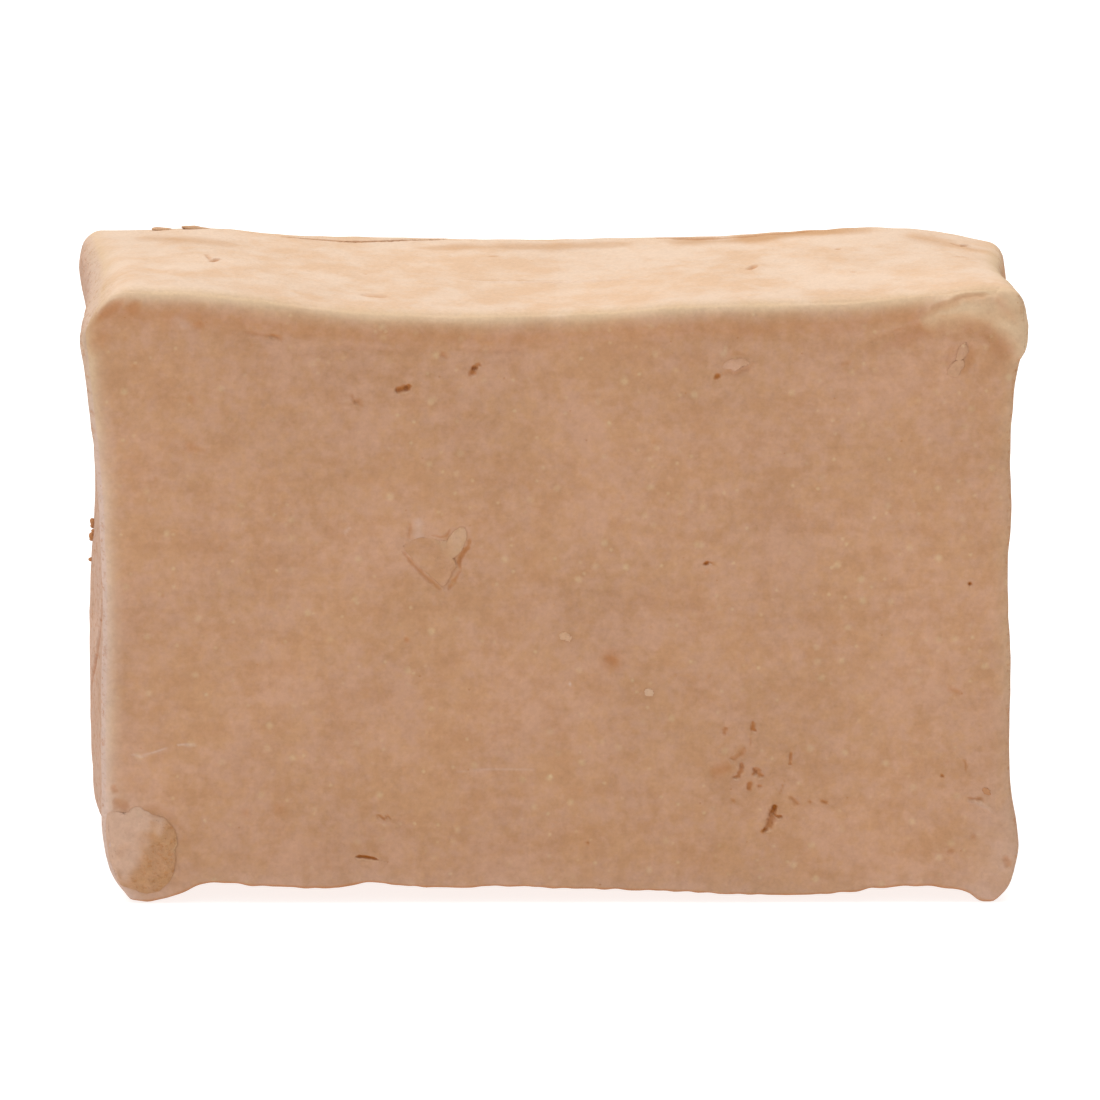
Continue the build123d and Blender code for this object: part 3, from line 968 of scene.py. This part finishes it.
    def _carve(self, mesh: bmesh.types.BMesh, straight: np.ndarray) -> dict[str, np.ndarray]:
        """Cuts every mark into the block.

        Args:
            mesh: The roughened block.
            straight: Its points on the straight box.

        Returns:
            The strength of each staining or painted light at each point, by attribute name.
        """
        push = np.zeros(len(straight))
        stains_and_painted_light = {stain_or_light: np.zeros(len(straight)) for stain_or_light in StainOrPaintedLight}
        for mark in self.marks:
            mark.carve(self.box, straight, push, stains_and_painted_light)
        move_to(mesh, coordinates(mesh) - normals(mesh) * push[:, None])
        return {stain_or_light.value: strength for stain_or_light, strength in stains_and_painted_light.items()}

    def _pale_corners_and_painted_light(self, straight: np.ndarray) -> np.ndarray:
        """The pale lower corners, pale from rubbing; a painted highlight along the crest up the left side;
        the left side face painted paler as painted light; and the front a little paler along its base.
        """
        share = (straight - np.array(self.box.low)) / np.array(self.box.size)
        ragged = 0.25 * noise_at(straight, 3.5, 19.0)
        front = smooth_step(0.2, 0.0, share[:, 1])
        lower_left = np.exp(-(((share[:, 0] - 0.01) / 0.035) ** 2) - ((share[:, 2] - 0.1) / 0.07) ** 2)
        lower_right = np.exp(-(((share[:, 0] - 0.985) / 0.03) ** 2) - ((share[:, 2] - 0.05) / 0.12) ** 2)
        crest = np.exp(-((share[:, 0] / 0.012) ** 2)) * smooth_step(0.98, 0.6, share[:, 2])
        foot = np.exp(-((share[:, 2] / 0.025) ** 2)) * 0.3
        patches = 0.6 * lower_left + 0.3 * lower_right + 0.6 * crest + 0.5 * foot
        side = 0.45 * smooth_step(0.002, 0.0, share[:, 0])
        return np.clip((patches * front + side) * (1 + ragged), 0, 0.9)


@dataclass
class Lump:
    """A bit of chalk that clings to the block, spread over an outline on one of its sides."""

    block: ChalkBlock
    side: Side
    outline: tuple[Place, ...]
    thick: float
    sunk: float = 0.2
    crown: float = 0.6
    lean: float = 0.0
    lean_turn: float = 0.0
    ragged: float = 0.08
    bumpy: float = 0.03
    fineness: int = 5
    seed: float = 0.0

    def shape(self) -> tuple[bmesh.types.BMesh, np.ndarray]:
        """Shapes the lump and lays it on the block.

        Returns:
            The mesh, and for each point its place in the lump: across, up and outwards, -1 to 1.
        """
        mesh = bmesh.new()
        bmesh.ops.create_icosphere(mesh, subdivisions=self.fineness, radius=1)
        ball = coordinates(mesh)
        axis, way = self.side.value
        across, up = [number for number in range(3) if number != axis]
        rim = self.block.laid(self.side, self.outline)
        centre = rim.mean(0)
        rim_x, rim_y = rim[:, across] - centre[across], rim[:, up] - centre[up]
        turns, reaches = np.arctan2(rim_y, rim_x), np.hypot(rim_x, rim_y)
        order = np.argsort(turns)
        turn = np.arctan2(ball[:, 1], ball[:, 0])
        reach = np.interp(turn, turns[order], reaches[order], period=2 * math.pi)
        round_the_rim = np.stack([np.cos(turn), np.sin(turn), turn * 0], axis=1) * 2 * MM
        reach = reach + self.ragged * MM * noise_at(round_the_rim, 0.9, self.seed)
        share = np.hypot(ball[:, 0], ball[:, 1])
        flat = np.tile(centre, (len(ball), 1))
        flat[:, across] += reach * share * np.cos(turn)
        flat[:, up] += reach * share * np.sin(turn)
        leaning = 1 + self.lean * share * np.cos(turn - math.radians(self.lean_turn))
        rise = self.thick * leaning * np.abs(ball[:, 2]) ** self.crown
        rise = rise + self.bumpy * np.abs(ball[:, 2]) * noise_at(flat, 0.8, self.seed)
        rise = np.where(ball[:, 2] > 0, rise, -self.sunk * np.abs(ball[:, 2]) ** self.crown)
        outward = np.zeros(3)
        outward[axis] = way
        laid = []
        for point, height in zip(flat, rise):
            spot, facing, _, _ = self.block.skin.find_nearest(Vector(point + outward * 0.6 * MM))
            laid.append(spot + facing * (height * MM))
        move_to(mesh, np.array(laid))
        bmesh.ops.recalc_face_normals(mesh, faces=mesh.faces)
        return mesh, ball


def all_over(mesh: bmesh.types.BMesh, looks: dict[str, float]) -> dict[str, np.ndarray]:
    """Gives every point of a mesh the same strength of each look."""
    return {name: np.full(len(mesh.verts), strength) for name, strength in looks.items()}


def merged(meshes: list[bmesh.types.BMesh]) -> bmesh.types.BMesh:
    """Puts several meshes in one; the others are freed."""
    whole = bmesh.new()
    for mesh in meshes:
        part = bpy.data.meshes.new("part")
        mesh.to_mesh(part)
        mesh.free()
        whole.from_mesh(part)
        bpy.data.meshes.remove(part)
    return whole


@dataclass
class CornerSmear:
    """Soft chalk folded over the lower left corner of the front face."""

    block: ChalkBlock
    outline: tuple[Place, ...] = (
        (0, 0.15), (0.03, 0.15), (0.06, 0.135), (0.08, 0.09), (0.075, 0.065), (0.06, 0.03), (0.04, 0.01),
        (0, 0.05),
    )
    thick: float = 0.24

    def build(self, finish: ChalkFinish) -> bpy.types.Object:
        """Builds and dresses the smear.

        Args:
            finish: Its finish.

        Returns:
            The smear's object.
        """
        lump = Lump(
            self.block, Side.FRONT, self.outline, self.thick, crown=0.75, lean=0.6, lean_turn=25, ragged=0.4,
            bumpy=0.3, fineness=6, seed=2.0,
        )
        mesh, ball = lump.shape()
        blotch = 0.5 * noise_at(ball * MM, 0.35, 41.0)
        grainy = smooth_step(-0.45, 0.35, ball[:, 0] - 0.6 * ball[:, 1] + blotch)
        # The right edge goes paler as a painted highlight; the pale and ochre parts are the smear's own
        # colours.
        looks = {"pale": 0.7 * (1 - grainy), "ochre": 0.5 * grainy, "coarse": 0.8 * grainy,
                 "worn": 0.7 * smooth_step(0.88, 0.98, ball[:, 0])}
        return finish_piece(mesh, "corner_smear", ("corner_flap",), finish, looks)


@dataclass
class LiftedFlake:
    """The thin three-cornered flake that has lifted from the front face."""

    block: ChalkBlock
    outline: tuple[Place, ...] = (
        (0.331, 0.597), (0.345, 0.609), (0.360, 0.611), (0.372, 0.607), (0.380, 0.609), (0.386, 0.623),
        (0.393, 0.632), (0.399, 0.631), (0.401, 0.617), (0.399, 0.603), (0.393, 0.587), (0.387, 0.578),
        (0.390, 0.563), (0.386, 0.554), (0.381, 0.540), (0.376, 0.527), (0.369, 0.538), (0.360, 0.549),
        (0.349, 0.562), (0.341, 0.579),
    )
    thick: float = 0.22

    def build(self, finish: ChalkFinish) -> bpy.types.Object:
        """Builds and dresses the flake.

        Args:
            finish: Its finish.

        Returns:
            The flake's object.
        """
        lump = Lump(
            self.block, Side.FRONT, self.outline, self.thick, crown=0.55, lean=0.85, lean_turn=-40,
            ragged=0.12, bumpy=0.08, fineness=6, seed=5.0,
        )
        mesh, ball = lump.shape()
        # Paler towards its upper right: a painted highlight.
        looks = {"worn": smooth_step(-0.2, 1.0, ball[:, 0] + ball[:, 1]) * 0.3}
        return finish_piece(mesh, "lifted_flake", ("face_flake",), finish, looks)


@dataclass
class PressedPellets:
    """Two pellets of loose chalk squashed on the front face, near the right side."""

    block: ChalkBlock

    def build(self, finish: ChalkFinish) -> bpy.types.Object:
        """Builds and dresses the pellets.

        Args:
            finish: Their finish.

        Returns:
            The pellets' object.
        """
        outlines = (
            ((0.922, 0.862), (0.930, 0.855), (0.938, 0.866), (0.939, 0.878), (0.935, 0.885), (0.94, 0.9),
             (0.936, 0.914), (0.928, 0.91), (0.926, 0.895), (0.928, 0.884), (0.921, 0.874)),
            ((0.677, 0.893), (0.686, 0.888), (0.7, 0.89), (0.707, 0.897), (0.702, 0.904), (0.69, 0.906),
             (0.68, 0.9)),
        )
        meshes = []
        for number, outline in enumerate(outlines):
            lump = Lump(
                self.block, Side.FRONT, outline, 0.15, crown=0.9, ragged=0.1, bumpy=0.06, seed=9.0 + number
            )
            meshes.append(lump.shape()[0])
        mesh = merged(meshes)
        looks = all_over(mesh, {"pale": 0.12})
        return finish_piece(mesh, "squashed_pellets", ("pressed_pellets",), finish, looks)


def disc(centre: Place, radius: float, box: Box, squeeze: float = 1.0) -> tuple[Place, ...]:
    """A round outline on the front face.

    Args:
        centre: Its centre in shares.
        radius: Its radius in millimetres.
        box: The block's box.
        squeeze: Its height as a share of its width.

    Returns:
        Twelve places round it.
    """
    turns = [math.tau * number / 12 for number in range(12)]
    return tuple(
        (
            centre[0] + radius * MM * math.cos(turn) / box.size.x,
            centre[1] + squeeze * radius * MM * math.sin(turn) / box.size.z,
        )
        for turn in turns
    )


@dataclass
class SetGrains:
    """Coarse grains set in the front face."""

    block: ChalkBlock
    places: tuple[tuple[float, float, float], ...]
    node: str
    slot: str
    name: str

    def build(self, finish: ChalkFinish, looks: dict[str, float]) -> bpy.types.Object:
        """Builds and dresses the grains.

        Args:
            finish: Their finish.
            looks: The strength of each colour all over them, painted light among them.

        Returns:
            The grains' object.
        """
        meshes = []
        for number, (along, up, radius) in enumerate(self.places):
            outline = disc((along, up), radius, self.block.box, 0.85)
            lump = Lump(
                self.block, Side.FRONT, outline, 0.1, crown=0.8, ragged=0.14, bumpy=0.05, fineness=4,
                seed=13.0 + number,
            )
            meshes.append(lump.shape()[0])
        mesh = merged(meshes)
        return finish_piece(mesh, self.name, (self.node,), finish, all_over(mesh, looks))


@dataclass
class SideCrumbs:
    """Crumbs stuck in a short column on the left side, near the back face."""

    block: ChalkBlock
    crumbs: tuple[tuple[float, float, float], ...] = (
        (0.93, 0.517, 0.3), (0.95, 0.507, 0.24), (0.92, 0.496, 0.34), (0.95, 0.487, 0.22), (0.9, 0.505, 0.2),
        (0.93, 0.452, 0.2),
    )
    proud: float = 0.15
    jaggedness: float = 0.35

    def build(self, finish: ChalkFinish) -> bpy.types.Object:
        """Builds and dresses the crumbs.

        Args:
            finish: Their finish.

        Returns:
            The crumbs' object.
        """
        meshes = []
        for back, up, radius in self.crumbs:
            mesh = bmesh.new()
            bmesh.ops.create_icosphere(mesh, subdivisions=4, radius=radius * MM)
            points = coordinates(mesh)
            jagged = 1 + self.jaggedness * noise_at(points, 0.35, up * 100)
            spot, facing = self.block.touched(Side.LEFT, (back, up))
            move_to(mesh, points * jagged[:, None] * (1, 1.1, 0.85))
            bmesh.ops.translate(mesh, vec=spot + facing * (self.proud * radius * MM), verts=mesh.verts)
            meshes.append(mesh)
        mesh = merged(meshes)
        # The crumbs are darkened all over with painted shade, and given ochre.
        looks = all_over(mesh, {"hollow": 0.45, "ochre": 0.3})
        return finish_piece(mesh, "clinging_crumbs", ("side_crumbs",), finish, looks)


@dataclass
class TopBurrs:
    """Splinters of pressing burr that stand along the back top edge."""

    block: ChalkBlock
    burrs: tuple[tuple[float, float, float], ...] = ((0.082, 1.0, 4), (0.119, 1.3, 5))
    from_front: float = 0.955
    half_width: float = 0.45
    half_height: float = 0.24
    sunk: float = 0.02

    def build(self, finish: ChalkFinish) -> bpy.types.Object:
        """Builds and dresses the splinters.

        Args:
            finish: Their finish.

        Returns:
            The splinters' object.
        """
        meshes = []
        for along, half, tip in self.burrs:
            mesh = bmesh.new()
            bmesh.ops.create_icosphere(mesh, subdivisions=4, radius=1)
            points = coordinates(mesh)
            narrow = 1 - 0.45 * (points[:, :1] + 1) / 2
            long = np.full_like(narrow, half)
            points = points * np.hstack([long, narrow * self.half_width, narrow * self.half_height])
            points[:, 2] += 0.06 * noise_at(points * MM, 0.6, along * 100)
            spot, _ = self.block.touched(Side.TOP, (along, self.from_front))
            move_to(mesh, points * MM)
            bmesh.ops.rotate(mesh, matrix=Matrix.Rotation(math.radians(tip), 3, "Y"), verts=mesh.verts)
            bmesh.ops.translate(mesh, vec=spot + Vector((0, 0, -self.sunk * MM)), verts=mesh.verts)
            meshes.append(mesh)
        mesh = merged(meshes)
        # The splinters are paled all over with the pale top colour as painted light, and given ochre.
        looks = all_over(mesh, {"dust_and_top_light": 0.6, "ochre": 0.5})
        return finish_piece(mesh, "edge_burrs", ("top_burrs",), finish, looks)


@dataclass(frozen=True)
class Studio:
    """A plain white floor under soft light, and the camera."""

    box: Box
    azimuth: float = -2.2
    elevation: float = 13.0
    roll: float = 0.5
    distance: float = 0.9
    lens: float = 368.2
    aim: tuple[float, float, float] = (-0.0001, 0.00025, 0.0008)
    floor_radius: float = 12.0
    floor_gap: float = 0.00002
    floor_grey: Colour = (0.4, 0.4, 0.4, 1.0)
    floor_glow: float = 0.8
    surround_strength: float = 0.45

    def build(self) -> None:
        """Makes the floor, the light and the camera."""
        self._floor()
        self._light()
        self._camera()
        bpy.context.scene.view_settings.view_transform = "Standard"

    def _floor(self) -> None:
        """Lays the floor just under the block."""
        mesh = bmesh.new()
        bmesh.ops.create_circle(mesh, cap_ends=True, segments=64, radius=self.floor_radius)
        bmesh.ops.translate(mesh, vec=(0, 0, self.box.low.z - self.floor_gap), verts=mesh.verts)
        data = bpy.data.meshes.new("floor")
        mesh.to_mesh(data)
        mesh.free()
        bench = Bench("floor_white")
        matt = bench.node("ShaderNodeBsdfDiffuse", {}, {"Color": self.floor_grey})
        lit = bench.node("ShaderNodeEmission", {}, {"Color": (1, 1, 1, 1), "Strength": self.floor_glow})
        shader = bench.node("ShaderNodeAddShader", {}, {0: matt, 1: lit})
        bench.node("ShaderNodeOutputMaterial", {}, {"Surface": shader})
        data.materials.append(bench.material)
        floor = bpy.data.objects.new("floor", data)
        bpy.context.collection.objects.link(floor)

    def _light(self) -> None:
        """Sets a bright soft light overhead, a weak one in front, and a pale surround."""
        for name, strength, angle, towards, colour in (
            ("overhead", 2.75, 70, (-0.15, 0.12, 1), (1.0, 0.985, 0.96)),
            ("front", 0.36, 60, (-0.5, -1, 0.5), (1.0, 0.96, 0.92)),
        ):
            sun = bpy.data.lights.new(name, "SUN")
            sun.energy = strength
            sun.angle = math.radians(angle)
            sun.color = colour
            lamp = bpy.data.objects.new(name, sun)
            lamp.rotation_mode = "QUATERNION"
            lamp.rotation_quaternion = Vector(towards).to_track_quat("Z", "Y")
            bpy.context.collection.objects.link(lamp)
        world = bpy.data.worlds.new("surround")
        bpy.context.scene.world = world
        world.use_nodes = True
        nodes, links = world.node_tree.nodes, world.node_tree.links
        nodes.clear()
        seen = nodes.new("ShaderNodeBackground")
        seen.inputs["Color"].default_value = (1, 1, 1, 1)
        lit = nodes.new("ShaderNodeBackground")
        lit.inputs["Color"].default_value = (1.0, 0.985, 0.97, 1)
        lit.inputs["Strength"].default_value = self.surround_strength
        path = nodes.new("ShaderNodeLightPath")
        either = nodes.new("ShaderNodeMixShader")
        links.new(path.outputs["Is Camera Ray"], either.inputs[0])
        links.new(lit.outputs[0], either.inputs[1])
        links.new(seen.outputs[0], either.inputs[2])
        links.new(either.outputs[0], nodes.new("ShaderNodeOutputWorld").inputs["Surface"])

    def _camera(self) -> None:
        """Places the camera in front of the block, a little above it."""
        turn, rise, roll = (math.radians(angle) for angle in (self.azimuth, self.elevation, self.roll))
        back = Vector((math.sin(turn) * math.cos(rise), -math.cos(turn) * math.cos(rise), math.sin(rise)))
        level = Vector((math.cos(turn), math.sin(turn), 0))
        upright = back.cross(level)
        right = math.cos(roll) * level + math.sin(roll) * upright
        up = -math.sin(roll) * level + math.cos(roll) * upright
        lens = bpy.data.cameras.new("camera")
        lens.lens = self.lens
        lens.sensor_width = 36
        lens.clip_start, lens.clip_end = 0.01, 30
        camera = bpy.data.objects.new("camera", lens)
        spot = self.box.centre + Vector(self.aim) + back * self.distance
        camera.matrix_world = Matrix((right, up, back)).transposed().to_4x4()
        camera.location = spot
        bpy.context.collection.objects.link(camera)
        bpy.context.scene.camera = camera


def main() -> None:
    """Builds the block, its clinging bits and the studio."""
    logging.basicConfig(level=logging.INFO, format="%(name)s: %(message)s")
    block_box = Box(*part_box("chalk_block"))
    log.info("box of the block: %s to %s", tuple(block_box.low), tuple(block_box.high))
    block = ChalkBlock(block_box)
    block.build(ChalkFinish("pressed_chalk"))
    CornerSmear(block).build(ChalkFinish("smeared_chalk", smear_and_painted_light=srgb(206, 173, 152), relief=1.5, move=0.05))
    LiftedFlake(block).build(ChalkFinish("flake_chalk", move=0.07))
    PressedPellets(block).build(ChalkFinish("pellet_chalk", move=0.09))
    grains = SetGrains(
        block, ((0.508, 0.442, 0.42), (0.601, 0.343, 0.4), (0.513, 0.438, 0.3)), "pale_grains", "pale_grain",
        "pale_set_grains",
    )
    grains.build(ChalkFinish("pale_grain", move=0.13), {"dust_and_top_light": 0.45, "ochre": 0.15})
    rust = SetGrains(block, ((0.971, 0.172, 0.36),), "rust_grain", "rust_grain", "rusty_set_grain")
    rust.build(ChalkFinish("rust_grain", move=0.15), {"rust": 0.55})
    SideCrumbs(block).build(ChalkFinish("crumb_chalk", relief=1.5, move=0.17))
    TopBurrs(block).build(ChalkFinish("burr_chalk", relief=1.5, move=0.19))
    Studio(Box(*cad_box)).build()


if __name__ == "__main__":
    main()
